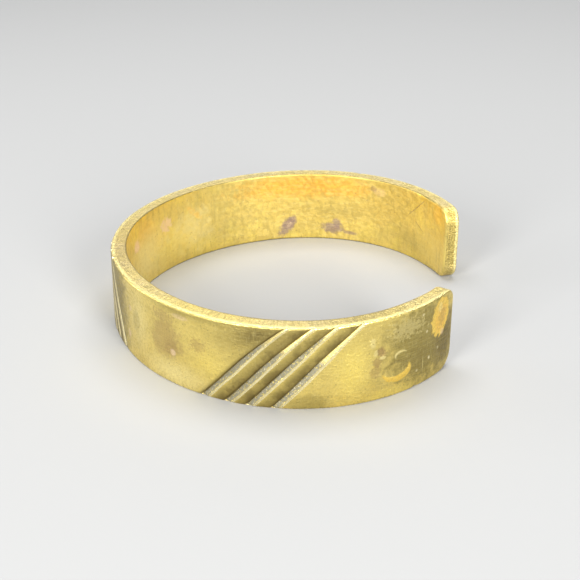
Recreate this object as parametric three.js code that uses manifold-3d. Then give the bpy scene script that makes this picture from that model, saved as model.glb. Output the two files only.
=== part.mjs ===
// An open cuff bracelet: one flat strip of brass bent into an oval C, with slanted grooves filed
// across its outer face. It stands on its lower rim. The back of the C is towards -X and the gap
// towards +X, the oval is longest along Y, and +Z is up. Units are millimetres.
// The strip springs open and closed about the middle of its back, so it is built as two arms.
import * as THREE from "three";
import { mergeVertices } from "three/addons/utils/BufferGeometryUtils.js";
import Module from "manifold-3d";

const wasm = await Module();
wasm.setup();

// Strip
const stripHeight = 12;
const stripThickness = 2.3;
const arrisRadius = 0.32; // rounding of the rims' edges
const endAngle = 30; // degrees from +X to each end, about the oval's centre
// Rounding of the strip's corners, seen square to its face. side is the end's side of the gap.
const endCorners = [
  { side: -1, upward: 1, radius: 1.7 },
  { side: -1, upward: -1, radius: 2.8 },
  { side: 1, upward: 1, radius: 2.4 },
  { side: 1, upward: -1, radius: 2.4 },
];

// Oval: the outer face's radius is ovalRadius - ovalLength cos 2a - ovalEgg cos 3a
const ovalRadius = 28.16;
const ovalLength = 1.16;
const ovalEgg = 0.51;
const ovalSteps = 108; // stations along each face

// Grooves: three sets of parallel cuts, leaning alternate ways. Each is a V whose upper wall is
// steep.
const grooveDepth = 0.32;
const steepWidth = 0.24;
const wideWidth = 0.7;
const grooveOffsets = [-3.78, -1.19, 1.07, 3.67]; // square to the grooves, from a set's middle
// middle: distance along the outer face from the middle of the back, positive to the front.
// slope: degrees up from the strip's length.
const grooveSets = [
  { middle: 46.2, lean: 1, slope: 47.8 },
  { middle: 11.4, lean: -1, slope: 66 },
  { middle: -32.8, lean: 1, slope: 47.8 },
];

const armGap = 0.4; // between the two arms, at the middle of the back
const shortestEdge = 0.05; // slivers that the cuts leave are merged into their neighbours
const roomBeyond = 1; // how far a cutter passes the metal that it cuts
const grooveRoom = 0.2; // and how far a groove's cutter stands out of the face
const weldDistance = 1e-5; // corners closer than this are one

const radians = THREE.MathUtils.degToRad;

function ovalPoint(angle) {
  const radius = ovalRadius - ovalLength * Math.cos(2 * angle) - ovalEgg * Math.cos(3 * angle);
  return new THREE.Vector2(radius * Math.cos(angle), radius * Math.sin(angle));
}

function ovalNormal(angle) {
  const step = 1e-4;
  const along = ovalPoint(angle + step).sub(ovalPoint(angle - step)).normalize();
  return new THREE.Vector2(along.y, -along.x);
}

// Half the box of the open oval, so that the finished cuff is centred on the origin
const ovalEnd = ovalPoint(radians(endAngle));
const ovalBack = Math.min(...stations(360 - endAngle).map((angle) => ovalPoint(angle).x));
const centreX = -(ovalEnd.x + ovalBack) / 2;

function stations(lastAngle) {
  const angles = [];
  for (let i = 0; i <= ovalSteps; i++) {
    angles.push(radians(THREE.MathUtils.lerp(endAngle, lastAngle, i / ovalSteps)));
  }
  return angles;
}

// The outer face unrolled: distance along it from the middle of the back, as angle
const faceTable = (() => {
  const fineSteps = 2000;
  const table = [{ angle: Math.PI, distance: 0 }];
  for (let i = 1; i <= fineSteps; i++) {
    const angle = Math.PI + (i / fineSteps) * Math.PI;
    const last = table[i - 1];
    const distance = last.distance + ovalPoint(angle).distanceTo(ovalPoint(last.angle));
    table.push({ angle, distance });
  }
  return table;
})();

function angleAtDistance(distance) {
  const entry = faceTable.find((row) => row.distance >= Math.abs(distance));
  const turned = entry.angle - Math.PI;
  return Math.PI + Math.sign(distance) * turned;
}

function solidFrom(geometry) {
  const bare = geometry.clone();
  bare.deleteAttribute("normal");
  bare.deleteAttribute("uv");
  const merged = mergeVertices(bare, weldDistance);
  return new wasm.Manifold(
    new wasm.Mesh({
      numProp: 3,
      vertProperties: new Float32Array(merged.attributes.position.array),
      triVerts: new Uint32Array(merged.index.array),
    }),
  );
}

function geometryFrom(solid) {
  const mesh = solid.getMesh();
  const geometry = new THREE.BufferGeometry();
  geometry.setAttribute("position", new THREE.BufferAttribute(mesh.vertProperties, 3));
  geometry.setIndex(new THREE.BufferAttribute(mesh.triVerts, 1));
  geometry.computeVertexNormals();
  return geometry;
}

// The whole strip, bent: its plan outline raised to its height, with the rims' edges rounded
function bentStrip() {
  const angles = stations(360 - endAngle);
  const outer = angles.map((angle) => ovalPoint(angle));
  const inner = angles.map((angle) =>
    ovalPoint(angle).addScaledVector(ovalNormal(angle), -stripThickness),
  );
  const plan = new THREE.Shape([...outer, ...inner.reverse()]);
  const geometry = new THREE.ExtrudeGeometry(plan, {
    depth: stripHeight - 2 * arrisRadius,
    bevelThickness: arrisRadius,
    bevelSize: arrisRadius,
    bevelOffset: -arrisRadius,
    bevelSegments: 2,
  });
  geometry.translate(0, 0, arrisRadius);
  return solidFrom(geometry);
}

// What rounding off one corner of a strip's end takes away. x runs along the strip to its end,
// y up or down from mid-height, and the cutter passes through the strip's thickness.
function endCornerCutter({ side, upward, radius }) {
  const top = stripHeight / 2;
  const flank = top - radius;
  const corner = new THREE.Shape();
  corner.moveTo(-radius, top);
  corner.lineTo(-radius, top + roomBeyond);
  corner.lineTo(roomBeyond, top + roomBeyond);
  corner.lineTo(roomBeyond, flank);
  corner.lineTo(0, flank);
  corner.absarc(-radius, flank, radius, 0, Math.PI / 2, false);
  const through = stripThickness + 2 * roomBeyond;
  const geometry = new THREE.ExtrudeGeometry(corner, {
    depth: through,
    bevelEnabled: false,
    curveSegments: 10,
  });
  const angle = radians(side * endAngle);
  const outward = ovalNormal(angle);
  const end = ovalPoint(angle);
  const normal = new THREE.Vector3(outward.x, outward.y, 0);
  const up = new THREE.Vector3(0, 0, upward);
  const toEnd = new THREE.Vector3(outward.y, -outward.x, 0).multiplyScalar(side);
  const inside = end.addScaledVector(outward, -stripThickness - roomBeyond);
  const placed = new THREE.Matrix4().makeBasis(toEnd, up, normal);
  placed.setPosition(inside.x, inside.y, stripHeight / 2);
  geometry.applyMatrix4(placed);
  if (placed.determinant() < 0) {
    flipFaces(geometry);
  }
  return solidFrom(geometry);
}

function flipFaces(geometry) {
  const position = geometry.attributes.position;
  const first = new THREE.Vector3();
  const third = new THREE.Vector3();
  for (let i = 0; i < position.count; i += 3) {
    first.fromBufferAttribute(position, i);
    third.fromBufferAttribute(position, i + 2);
    position.setXYZ(i, third.x, third.y, third.z);
    position.setXYZ(i + 2, first.x, first.y, first.z);
  }
}

// The line of one groove on the outer face, from below the strip to above it. Its frames keep
// the cutter's section square to the face all the way.
class GroovePath extends THREE.Curve {
  constructor(middle, lean, slope) {
    super();
    this.middle = middle;
    this.shift = lean / Math.tan(radians(slope)); // along the strip for each mm up
  }

  angleAt(t) {
    const rise = (t - 0.5) * (stripHeight + 2 * roomBeyond);
    return angleAtDistance(this.middle + this.shift * rise);
  }

  getPoint(t, target = new THREE.Vector3()) {
    const rise = (t - 0.5) * (stripHeight + 2 * roomBeyond);
    const onFace = ovalPoint(this.angleAt(t));
    return target.set(onFace.x, onFace.y, stripHeight / 2 + rise);
  }

  computeFrenetFrames(steps) {
    const tangents = [];
    const normals = [];
    const binormals = [];
    for (let i = 0; i <= steps; i++) {
      const tangent = this.getTangentAt(i / steps);
      const outward = ovalNormal(this.angleAt(this.getUtoTmapping(i / steps)));
      const normal = new THREE.Vector3(outward.x, outward.y, 0);
      tangents.push(tangent);
      normals.push(normal);
      binormals.push(new THREE.Vector3().crossVectors(tangent, normal));
    }
    return { tangents, normals, binormals };
  }
}

// One file cut, a V into the face. x is outward and y across the groove, towards the front end.
function grooveCutter(middle, lean, slope) {
  const spread = 1 + grooveRoom / grooveDepth;
  const section = new THREE.Shape();
  section.moveTo(-grooveDepth, 0);
  section.lineTo(grooveRoom, lean * wideWidth * spread);
  section.lineTo(grooveRoom, -lean * steepWidth * spread);
  const geometry = new THREE.ExtrudeGeometry(section, {
    steps: 10,
    extrudePath: new GroovePath(middle, lean, slope),
  });
  return solidFrom(geometry);
}

function grooveCutters() {
  const cutters = [];
  for (const { middle, lean, slope } of grooveSets) {
    for (const offset of grooveOffsets) {
      const apart = offset / Math.sin(radians(slope));
      cutters.push(grooveCutter(middle + lean * apart, lean, slope));
    }
  }
  return cutters;
}

function finishedStrip() {
  let strip = bentStrip();
  for (const corner of endCorners) {
    strip = strip.subtract(endCornerCutter(corner));
  }
  for (const cutter of grooveCutters()) {
    strip = strip.subtract(cutter);
  }
  return strip;
}

// Everything on one side of the middle of the back: side -1 is the front, 1 the rear
function halfSpace(side) {
  const reach = 3 * ovalRadius;
  const geometry = new THREE.BoxGeometry(reach, reach, reach);
  geometry.translate(0, side * (reach / 2 + armGap / 2), 0);
  return solidFrom(geometry);
}

function brass() {
  return new THREE.MeshStandardMaterial({ color: 0xc9a63c, roughness: 0.38, metalness: 1 });
}

function arm(name, side, strip) {
  const geometry = geometryFrom(strip.intersect(halfSpace(side)).asOriginal().simplify(shortestEdge));
  const mesh = new THREE.Mesh(geometry, brass());
  mesh.name = name;
  mesh.position.x = centreX;
  return mesh;
}

const strip = finishedStrip();
const cuff = new THREE.Group();
cuff.name = "open_cuff";
cuff.add(arm("front_arm", -1, strip));
cuff.add(arm("rear_arm", 1, strip));

export default cuff;
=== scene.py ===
# An open brass cuff bracelet, bent from one flat strip, with slanted grooves filed across its
# outer face. It stands on its lower rim on a plain pale floor.
import math

import bpy
import numpy as np
from mathutils import Matrix, Vector, noise


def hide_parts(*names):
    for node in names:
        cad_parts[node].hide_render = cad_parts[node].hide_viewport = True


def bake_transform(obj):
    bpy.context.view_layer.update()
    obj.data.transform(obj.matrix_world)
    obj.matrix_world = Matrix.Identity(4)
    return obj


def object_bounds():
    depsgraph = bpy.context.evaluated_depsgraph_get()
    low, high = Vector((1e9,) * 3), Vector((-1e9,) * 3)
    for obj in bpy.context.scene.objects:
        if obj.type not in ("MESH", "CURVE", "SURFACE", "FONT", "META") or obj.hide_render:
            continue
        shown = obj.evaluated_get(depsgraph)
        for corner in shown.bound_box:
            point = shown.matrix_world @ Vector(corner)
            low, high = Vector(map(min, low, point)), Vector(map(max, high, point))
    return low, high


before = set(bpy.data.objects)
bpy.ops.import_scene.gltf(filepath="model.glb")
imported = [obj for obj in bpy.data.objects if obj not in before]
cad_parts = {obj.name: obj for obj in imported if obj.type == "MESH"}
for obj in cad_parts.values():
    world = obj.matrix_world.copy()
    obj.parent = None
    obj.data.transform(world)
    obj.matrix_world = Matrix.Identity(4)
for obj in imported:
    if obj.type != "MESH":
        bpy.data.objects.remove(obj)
cadLow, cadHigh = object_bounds()
print("cuff: frame loaded")

mm = 0.001

# The strip's form, in millimetres. Along the strip, distances run from the middle of the back,
# positive to the front end. Its height comes from the frame.
stripForm = {
    "height": (cadHigh[2] - cadLow[2]) / mm,
    "thickness": 2.3,
    "ovalRadius": 28.16,    # the outer face's radius is ovalRadius
    "ovalLength": 1.16,     # less ovalLength cos 2a
    "ovalEgg": 0.51,        # less ovalEgg cos 3a
    "endAngle": 30.0,       # degrees from +X to each end
    "frontCorners": (1.7, 2.8),   # rounding of the end's upper and lower corners
    "rearCorners": (2.4, 2.4),
    "outerArris": 0.30,     # rounding between the outer face and the rim
    "innerArris": 0.17,     # and between the rim and the inner face
    "endArris": 0.45,       # which is rounder round the ends
    "flare": 0.38,          # how far the back's lower edge stands out
    "flareMiddle": 6.0,
    "flareReach": 13.0,
    "plainStep": 0.34,      # column spacing away from the grooves
    "markedStep": 0.22,     # and where the front end is marked
    "markedFrom": 58.0,
    "rows": 54,
    "cornerSteps": 14,
    "faceSink": 0.03,       # the uneven outer face is set in by this
    "faceWave": 0.05,       # how uneven bending and filing left the faces
    "faceWaveLength": 8.0,
    "waveStretch": 0.8,     # a wave is longer up the strip than along it
    "ripple": 0.25,         # share of the wave's height
    "rippleLength": 0.3,    # and of its length
    "faceGrain": 0.006,     # fine unevenness of the rubbed faces
    "faceGrainLength": 1.1,
    "rimWave": 0.05,
    "rimWaveLength": 5.0,
    "rimFiling": 0.022,     # depth of the marks of filing across the rim
    "rimFilingLength": 0.75,
    "filingStretch": 0.2,
}

# Where each kind of unevenness is read from the noise, so that no two are alike
seeds = {
    "wander": 3.1, "rimWave": 8.4, "rimFiling": 21.3, "rocking": 5.0,
    "outerFace": 1.7, "innerFace": 12.3, "ripple": 4, "grain": 7,
}

# Three sets of file cuts. One wall is steep and the other wide, with a worn lip. Offsets and widths
# are square to the cuts.
grooveForm = {
    "offsets": (-3.78, -1.19, 1.07, 3.67),   # of each cut from its set's middle
    "depth": 0.34,
    "steepWall": 0.24,
    "wideWall": 0.64,
    "lip": 0.27,
    "lipHeight": 0.045,     # the file's burr stands proud of the face
    "lipFade": 0.5,         # share of it lost at the upper rim
    "reach": 1.8,           # a cut's hollow stays within this of its floor
    "steepBlur": 0.02,      # how soft the edges of each wall are
    "wideBlur": 0.05,
    "fadeStart": 0.05,      # fading starts this share of the height below the middle
    "fadeOver": 0.55,       # and takes this share
    "narrowing": 1.0,       # share of the fading that also narrows the wide wall
    "curl": 1.2,            # how far the cuts turn aside at the upper rim
    "wander": 0.12,         # how far a cut strays from straight
    "wanderLength": 7.0,
    "rocking": 0.15,        # how unevenly the file bit
    "rockingLength": 2.4,
    "steepColumns": (-0.46, 0.0, 8),     # mesh columns over each wall: from, to and how many
    "wideColumns": (0.08, 1.02, 13),
    "oxideTops": (2.6, 1.6, 3.4, 0.6),   # heights where the oxide in each cut thins out
    "oxideWander": 1.2,     # how far those heights stray
    "oxideSoft": 2.0,
    "leastOxide": 0.3,      # share of the oxide left above them
    # middle along the strip, lean, slope in degrees, share of the depth lost towards the upper rim,
    # and how oxidised the wide walls are
    "sets": {
        "front": (46.2, 1, 47.8, 0.55, 1.0),
        "back": (11.4, -1, 66.0, 0.3, 0.1),
        "rear": (-32.8, 1, 47.8, 0.4, 0.7),
    },
}

# Where each finish of a cut starts and stops, square to it from the floor, towards the wide wall
cutMasks = {
    "soft": 0.10,           # how soft the masks are
    "upperFade": 0.35,        # share taken off the steep wall's painted shade and the lip's brightness at the upper rim
    "lipStart": 0.03,       # from the wide wall's edge
    "lipEnd": -0.09,        # from the lip's outer edge
    "wideEnd": -0.13,       # from the wide wall's edge
    "shadeFrom": -0.70,
    "shadeSoft": 0.56,
    "shadeTo": 0.03,
    "shadeEndSoft": 0.075,
    "landFrom": -2.15,
    "landSoft": 1.6,
    "landTo": -0.15,
}


def ovalPoint(angle):
    radius = (
        stripForm["ovalRadius"]
        - stripForm["ovalLength"] * np.cos(2 * angle)
        - stripForm["ovalEgg"] * np.cos(3 * angle)
    )
    return np.stack([radius * np.cos(angle), radius * np.sin(angle)], axis=-1)


def ovalNormal(angle):
    step = 1e-4
    along = ovalPoint(angle + step) - ovalPoint(angle - step)
    along /= np.linalg.norm(along, axis=-1, keepdims=True)
    return np.stack([along[..., 1], -along[..., 0]], axis=-1)


# The outer face unrolled, from the middle of the back to the front end
faceSamples = 6001
frontEndAngle = 2 * math.pi - math.radians(stripForm["endAngle"])
faceAngles = np.linspace(math.pi, frontEndAngle, faceSamples)
facePoints = ovalPoint(faceAngles)
faceSteps = np.linalg.norm(np.diff(facePoints, axis=0), axis=1)
faceDistances = np.concatenate([[0], np.cumsum(faceSteps)])
halfLength = faceDistances[-1]
ovalCentreX = cadLow[0] / mm - facePoints[:, 0].min()


def angleAlong(distance):
    turned = np.interp(np.abs(distance), faceDistances, faceAngles) - math.pi
    return math.pi + np.sign(distance) * turned


# Strip coordinates to places on the bent cuff, in metres
def bent(along, up, depth):
    angle = angleAlong(along)
    flat = ovalPoint(angle) - ovalNormal(angle) * depth[..., None]
    return np.stack(
        [flat[..., 0] + ovalCentreX, flat[..., 1], up + stripForm["height"] / 2], axis=-1
    ) * mm


# Smooth noise from -1 to 1 over arrays of places
def softNoise(across, up, size, seed):
    flatAcross = np.ravel(across) / size
    flatUp = np.ravel(up) / size
    values = [noise.noise(Vector((a, b, seed))) for a, b in zip(flatAcross, flatUp)]
    return np.reshape(values, np.shape(across))


def softStep(value):
    value = np.clip(value, 0, 1)
    return value * value * (3 - 2 * value)


# 1 between low and high, falling to 0 over soft outside them
def bellBetween(value, low, high, soft):
    return softStep((value - low) / soft + 1) * softStep((high - value) / soft + 1)


# Every cut, with its place at mid-height and its set's values
def grooveCuts():
    cuts = []
    for middle, lean, slope, fade, oxidised in grooveForm["sets"].values():
        square = math.sin(math.radians(slope))
        for offset, oxideTop in zip(grooveForm["offsets"], grooveForm["oxideTops"]):
            cuts.append({
                "centre": middle + lean * offset / square, "lean": lean, "square": square,
                "fade": fade, "oxidised": oxidised, "oxideTop": oxideTop,
                "first": offset == grooveForm["offsets"][0],
            })
    return cuts


frontEdge = halfLength - sum(stripForm["frontCorners"]) / 2   # where the end's corners begin
rearEdge = halfLength - sum(stripForm["rearCorners"]) / 2


# Column places at mid-height, close together in the grooves
def columnPlaces():
    offsets = np.concatenate(
        [np.linspace(*grooveForm["steepColumns"]), np.linspace(*grooveForm["wideColumns"])]
    )
    fixed = [stripForm["markedFrom"]]
    for groove in grooveCuts():
        fixed.extend(groove["centre"] + groove["lean"] * offsets / groove["square"])
    fixed = [-rearEdge, *sorted(fixed), frontEdge]
    places = [fixed[0]]
    for place in fixed[1:]:
        start = places[-1]
        marked = place > stripForm["markedFrom"]
        step = stripForm["markedStep"] if marked else stripForm["plainStep"]
        parts = max(1, math.ceil((place - start) / step))
        places.extend(start + (place - start) * k / parts for k in range(1, parts + 1))
    return np.array(places)


# How far the columns lean along the strip for each mm up, so that they follow the grooves
def leanAt(place):
    knots = [(-rearEdge, 0.0), (frontEdge, 0.0)]
    for middle, lean, slope, _, _ in grooveForm["sets"].values():
        turn = math.radians(slope)
        half = max(grooveForm["offsets"]) / math.sin(turn) + grooveForm["reach"]
        knots += [(middle - half, lean / math.tan(turn)), (middle + half, lean / math.tan(turn))]
    knots.sort()
    return np.interp(place, [k[0] for k in knots], [k[1] for k in knots])


# The last columns lean until they meet corners of unequal rounding
def endLean(place):
    reach = 8.0   # mm from the corners
    upper, lower = stripForm["frontCorners"]
    return softStep((place - frontEdge) / reach + 1) * (lower - upper) / 2


columns = columnPlaces()
cornerTurns = np.radians(np.linspace(90, 0, stripForm["cornerSteps"] + 1))[1:]
columnCount = len(columns) + 2 * len(cornerTurns)
rowShares = np.linspace(-1, 1, stripForm["rows"])


# The column's place at mid-height, or a place past the grooves in the end corners
def columnMiddle(column):
    corner = len(cornerTurns)
    inside = (column >= corner) & (column < columnCount - corner)
    straight = columns[np.clip(column - corner, 0, len(columns) - 1)]
    return np.where(inside, straight, halfLength)


# (along, up) for arrays of column numbers and row shares, inset from the strip's outline
def stripPlace(column, share, inset):
    corner = len(cornerTurns)
    half = stripForm["height"] / 2
    front = column >= columnCount - corner
    rear = column < corner
    side = np.where(rear, -1, 1)
    turnIndex = np.where(rear, corner - 1 - column, column - (columnCount - corner))
    turn = cornerTurns[np.clip(turnIndex, 0, corner - 1)]
    upper = np.where(rear, stripForm["rearCorners"][0], stripForm["frontCorners"][0])
    lower = np.where(rear, stripForm["rearCorners"][1], stripForm["frontCorners"][1])
    rise = (share + 1) / 2
    top = half - upper + (upper - inset) * np.sin(turn)
    bottom = -half + lower - (lower - inset) * np.sin(turn)
    topAlong = halfLength - upper + (upper - inset) * np.cos(turn)
    bottomAlong = halfLength - lower + (lower - inset) * np.cos(turn)
    straight = columnMiddle(column)
    inCorner = front | rear
    up = np.where(inCorner, bottom + (top - bottom) * rise, share * (half - inset))
    wander = softNoise(straight, up, grooveForm["wanderLength"], seeds["wander"])
    wander = grooveForm["wander"] * wander
    curl = grooveForm["curl"] * (np.maximum(0, up) / half) ** 2
    straightAlong = straight + leanAt(straight) * (up + wander + curl) + endLean(straight) * share
    cornerAlong = side * (bottomAlong + (topAlong - bottomAlong) * rise)
    along = np.where(inCorner, cornerAlong, straightAlong)
    wave = softNoise(along, up, stripForm["rimWaveLength"], seeds["rimWave"])
    wave = stripForm["rimWave"] * (wave - 1) / 2
    stretched = up * stripForm["filingStretch"]
    filing = softNoise(along, stretched, stripForm["rimFilingLength"], seeds["rimFiling"])
    filing = stripForm["rimFiling"] * (filing - 1) / 2
    fromMiddle = np.abs(share)   # the powers keep both close to the rims
    return along, up + share * (wave * fromMiddle**3 + filing * fromMiddle**16)


# Depth of the cuts at a column place, and masks for the painted shade on the steep wall, the wide wall's
# oxide, the lip (worn bright, with a painted highlight) and the painted shade on the metal between the cuts
def grooveRelief(place, up):
    relief, wall, floor, lip, land = (np.zeros_like(place) for _ in range(5))
    form, masks = grooveForm, cutMasks
    height = stripForm["height"]
    rise = softStep((up + form["fadeStart"] * height) / (form["fadeOver"] * height))
    upperFade = 1 - masks["upperFade"] * rise
    for index, groove in enumerate(grooveCuts()):
        across = (place - groove["centre"]) * groove["lean"] * groove["square"]
        near = np.abs(across) < form["reach"]
        line = np.full_like(up, index * 3.0)   # each cut's own line through the noise
        uneven = softNoise(up, line, form["rockingLength"], seeds["rocking"])
        rocking = 1 + form["rocking"] * uneven
        fade = groove["fade"] * rise
        depth = form["depth"] * (1 - fade) * rocking
        width = form["wideWall"] * (1 - fade * form["narrowing"]) * rocking
        steep = depth * (1 + across / form["steepWall"])
        wide = depth * (1 - across / width)
        sharp = np.minimum(steep, wide)
        blur = np.where(across < 0, form["steepBlur"], form["wideBlur"])
        cut = 0.5 * (sharp + np.sqrt(sharp**2 + blur**2))
        cut = np.maximum(cut - 0.5 * blur * np.exp(-np.abs(sharp) / blur), 0) * near
        cut = np.where(sharp < -3 * blur, 0, cut)
        lipStart = width + masks["lipStart"]
        lipEnd = width + form["lip"] + masks["lipEnd"]
        edge = bellBetween(across, lipStart, lipEnd, masks["soft"])
        burr = form["lipHeight"] * (1 - form["lipFade"] * rise) * edge
        relief = np.maximum(relief, cut) - burr
        above = up - groove["oxideTop"] + form["oxideWander"] * uneven
        oxide = 1 - softStep(above / form["oxideSoft"])
        oxide = form["leastOxide"] + (1 - form["leastOxide"]) * oxide
        # Painted shade over the steep wall and the face just before it
        shaded = softStep((across - masks["shadeFrom"]) / masks["shadeSoft"])
        shaded = shaded * softStep((masks["shadeTo"] - across) / masks["shadeEndSoft"])
        wall = np.maximum(wall, shaded * upperFade)
        wideFace = bellBetween(across, 0.0, width + masks["wideEnd"], masks["soft"])
        floor = np.maximum(floor, wideFace * oxide * groove["oxidised"])
        # Bright mask on the lips, and on the wide walls of cuts with little oxide: a worn burr with a
        # painted highlight
        worn = np.maximum(edge * upperFade, wideFace * (1 - groove["oxidised"]))
        lip = np.maximum(lip, worn)
        # Painted shade on the land between cuts, darkening towards each cut's steep wall
        if not groove["first"]:
            between = softStep((across - masks["landFrom"]) / masks["landSoft"])
            land = np.maximum(land, between * (across < masks["landTo"]))
    return relief, wall, floor, lip, land


# Rounding of the inner arris at each column
def innerRounding(column):
    start, over = 9, 6   # mm from the end where it starts to grow, and how soon it is whole
    toEnd = softStep((np.abs(columnMiddle(column)) - halfLength + start) / over)
    return stripForm["innerArris"] + (stripForm["endArris"] - stripForm["innerArris"]) * toEnd


# The strip's edge from the outer face to the inner: (inset, depth), with the inner arris's radius
def sectionSteps(inner):
    thick = stripForm["thickness"]
    outer = stripForm["outerArris"]
    steps = []
    for turn in np.radians([15, 30, 45, 60, 75, 90]):
        steps.append((outer * (1 - math.sin(turn)), outer * (1 - math.cos(turn))))
    for share in (0.2, 0.4, 0.6, 0.8):
        steps.append((0.0, outer + share * (thick - outer - inner)))
    for turn in np.radians([90, 60, 30]):
        steps.append((inner * (1 - math.sin(turn)), thick - inner * (1 - math.cos(turn))))
    return steps


# How far the strip stands out of its oval: its back leans, lower edge outwards
def flareAt(along, up):
    reach = softStep(1 - np.abs(along - stripForm["flareMiddle"]) / stripForm["flareReach"])
    return stripForm["flare"] * reach * (0.5 - up / stripForm["height"])


def faceWaves(along, up, seed):
    form = stripForm
    rippleLength = form["faceWaveLength"] * form["rippleLength"]
    wave = softNoise(along, up * form["waveStretch"], form["faceWaveLength"], seed)
    ripple = softNoise(along, up, rippleLength, seed + seeds["ripple"])
    grain = softNoise(along, up, form["faceGrainLength"], seed + seeds["grain"])
    return form["faceWave"] * (wave + form["ripple"] * ripple) + form["faceGrain"] * grain


# Knocks and rubbed marks that can be felt. along and up are a mark's middle, long and high its
# reach each way, turn the direction of long in degrees, and sink its depth, less than 0 if it
# stands proud. bite is how far a second oval, that the mark leaves clear, is moved from its own.
outerMarks = [
    {"along": 62.9, "up": -2.4, "long": 2.35, "high": 1.5, "bite": (-0.45, 0.95), "sink": -0.06},
    {"along": 63.4, "up": 0.0, "long": 1.0, "high": 0.65, "bite": (0.2, -0.30), "sink": -0.03},
    {"along": 59.2, "up": 2.6, "long": 0.65, "high": 0.8, "sink": -0.03},
    {"along": 59.5, "up": 1.3, "long": 0.45, "high": 0.6, "sink": -0.03},
    {"along": 60.5, "up": 0.2, "long": 0.55, "high": 0.35, "sink": -0.025},
    {"along": 60.2, "up": 1.3, "long": 0.7, "high": 0.9, "turn": 70, "sink": 0.05},
    {"along": 59.8, "up": -0.2, "long": 0.6, "high": 0.7, "sink": 0.04},
    {"along": 59.7, "up": -1.6, "long": 0.9, "high": 0.8, "sink": 0.03},
    {"along": 71.1, "up": 3.0, "long": 1.7, "high": 2.3, "turn": -12, "sink": 0.045},
    {"along": 68.1, "up": 1.8, "long": 0.3, "high": 0.3, "sink": 0.04},
    {"along": 68.8, "up": -2.4, "long": 0.3, "high": 0.25, "sink": 0.04},
    {"along": 70.8, "up": -1.7, "long": 0.3, "high": 0.3, "sink": 0.04},
    {"along": 67.2, "up": 4.6, "long": 0.3, "high": 0.25, "sink": 0.03},
    {"along": 66.4, "up": -3.5, "long": 0.35, "high": 0.3, "sink": 0.03},
    {"along": 31.0, "up": -1.0, "long": 0.5, "high": 0.45, "sink": 0.03},
    {"along": 20.7, "up": 1.7, "long": 0.5, "high": 0.4, "sink": 0.03},
    {"along": 19.8, "up": -2.6, "long": 0.5, "high": 0.6, "sink": 0.03},
    {"along": -18.0, "up": 1.5, "long": 0.7, "high": 0.4, "turn": 25, "sink": 0.04},
    {"along": -47.0, "up": -2.0, "long": 0.9, "high": 0.3, "turn": -40, "sink": 0.04},
    {"along": -60.0, "up": 2.2, "long": 0.4, "high": 0.4, "sink": 0.04},
]

# How far out an oval mark's edge runs, and how soft it is, as shares of its reach
markEdge = {"out": 1.2, "soft": 0.5}

# Chips out of the arrises: place along the strip, up, depth through it, and reach
nicks = [
    (2.6, 6.0, 2.3, 0.45),
    (-73.2, 5.0, 2.3, 0.40),
    (24.0, 6.0, 0.0, 0.40),
    (-21.0, -6.0, 0.0, 0.5),
    (-50.5, 6.0, 0.0, 0.45),
    (66.2, -6.0, 0.1, 0.40),
]
nickEdge = {"out": 1.3, "depth": 0.22}   # as shares of a chip's reach


def markShape(along, up, mark, shift=(0, 0)):
    turn = math.radians(mark.get("turn", 0))
    ahead = along - mark["along"] - shift[0]
    above = up - mark["up"] - shift[1]
    onLong = (ahead * math.cos(turn) + above * math.sin(turn)) / mark["long"]
    onHigh = (above * math.cos(turn) - ahead * math.sin(turn)) / mark["high"]
    return softStep((markEdge["out"] - np.hypot(onLong, onHigh)) / markEdge["soft"])


def marksRelief(along, up):
    relief = np.zeros_like(along)
    for mark in outerMarks:
        shape = markShape(along, up, mark)
        if "bite" in mark:
            shape = shape * (1 - markShape(along, up, mark, mark["bite"]))
        relief += mark["sink"] * shape
    return relief


def nickPull(along, up, depth):
    pull = np.zeros_like(along)
    for place, height, through, reach in nicks:
        apart = np.sqrt((along - place) ** 2 + (up - height) ** 2 + (depth - through) ** 2)
        bite = softStep(nickEdge["out"] - apart / reach) * nickEdge["depth"] * reach
        pull = np.maximum(pull, bite)
    return pull


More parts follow.
